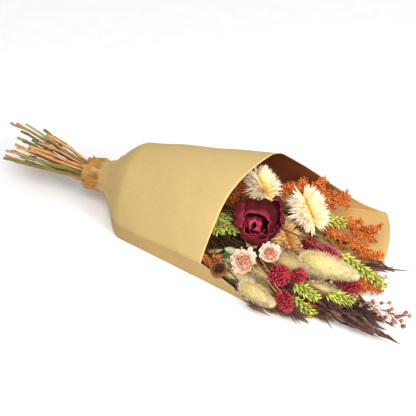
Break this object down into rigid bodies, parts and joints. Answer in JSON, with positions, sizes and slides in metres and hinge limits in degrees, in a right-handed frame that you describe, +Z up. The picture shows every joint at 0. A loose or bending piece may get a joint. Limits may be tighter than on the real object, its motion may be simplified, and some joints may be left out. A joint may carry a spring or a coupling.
{
  "type": "mixed flower bouquet",
  "caption": "Lying bouquet of dried flowers, furry grass heads and sprays, tied at the stems and wrapped in a cone of plain kraft paper.",
  "frame": {"origin": "a point of the paper's flat underside, near the middle of the bouquet's weight", "axes": "+X along the bouquet from the cut stems to the flowers, +Y to the far side, +Z up"},
  "size_m": [0.5721, 0.2427, 0.1075],
  "materials": {
    "kraft": "matt wrapping paper",
    "twine": "matt plant fibre",
    "burgundy": "velvety dried petal",
    "cream": "papery dried bract",
    "pink": "papery dried petal",
    "straw_yellow": "soft furry grass head",
    "crimson": "dense dried florets",
    "lime": "dried green grain",
    "orange": "dried florets",
    "dark_brown": "dry chaff",
    "flax_brown": "smooth seed head",
    "grey_green": "waxy dried leaf",
    "rust": "dry scales",
    "tan_stem": "dry stalk",
    "olive_stem": "dry stalk",
    "ochre_stem": "dry stalk and bract"
  },
  "bodies": {
    "root": {"paper_sleeve": "kraft", "tie": "twine", "rose_bloom": "burgundy", "rose_stem": "olive_stem", "everlasting_bloom_1": "cream", "everlasting_stem_1": "ochre_stem", "everlasting_bloom_2": "cream", "everlasting_stem_2": "ochre_stem", "everlasting_bloom_3": "ochre_stem", "everlasting_stem_3": "ochre_stem", "spray_rose_bloom_1": "pink", "spray_rose_bloom_2": "pink", "spray_rose_bloom_3": "pink", "spray_rose_stem": "olive_stem", "bunny_tail_head_1": "straw_yellow", "bunny_tail_stem_1": "tan_stem", "bunny_tail_head_2": "straw_yellow", "bunny_tail_stem_2": "tan_stem", "bunny_tail_head_3": "straw_yellow", "bunny_tail_stem_3": "tan_stem", "bunny_tail_head_4": "straw_yellow", "bunny_tail_stem_4": "tan_stem", "bunny_tail_head_5": "straw_yellow", "bunny_tail_stem_5": "tan_stem", "bunny_tail_head_6": "straw_yellow", "bunny_tail_stem_6": "tan_stem", "crimson_head_1": "crimson", "crimson_stem_1": "tan_stem", "crimson_head_2": "crimson", "crimson_stem_2": "tan_stem", "crimson_head_3": "crimson", "crimson_stem_3": "tan_stem", "crimson_head_4": "crimson", "crimson_stem_4": "tan_stem", "crimson_head_5": "crimson", "crimson_stem_5": "tan_stem", "crimson_head_6": "crimson", "crimson_stem_6": "tan_stem", "wheat_ear_1": "lime", "wheat_ear_2": "lime", "wheat_ear_3": "lime", "wheat_ear_4": "lime", "wheat_ear_5": "lime", "wheat_ear_6": "lime", "orange_spray_1": "orange", "orange_spray_2": "orange", "orange_spray_3": "orange", "orange_spray_4": "orange", "orange_spray_5": "orange", "orange_spray_6": "orange", "orange_spray_7": "orange", "dark_oat_1": "dark_brown", "dark_oat_2": "dark_brown", "dark_oat_3": "dark_brown", "dark_oat_4": "dark_brown", "flax": "flax_brown", "eucalyptus": "grey_green", "cone_rosette": "rust"}
  },
  "joints": []
}
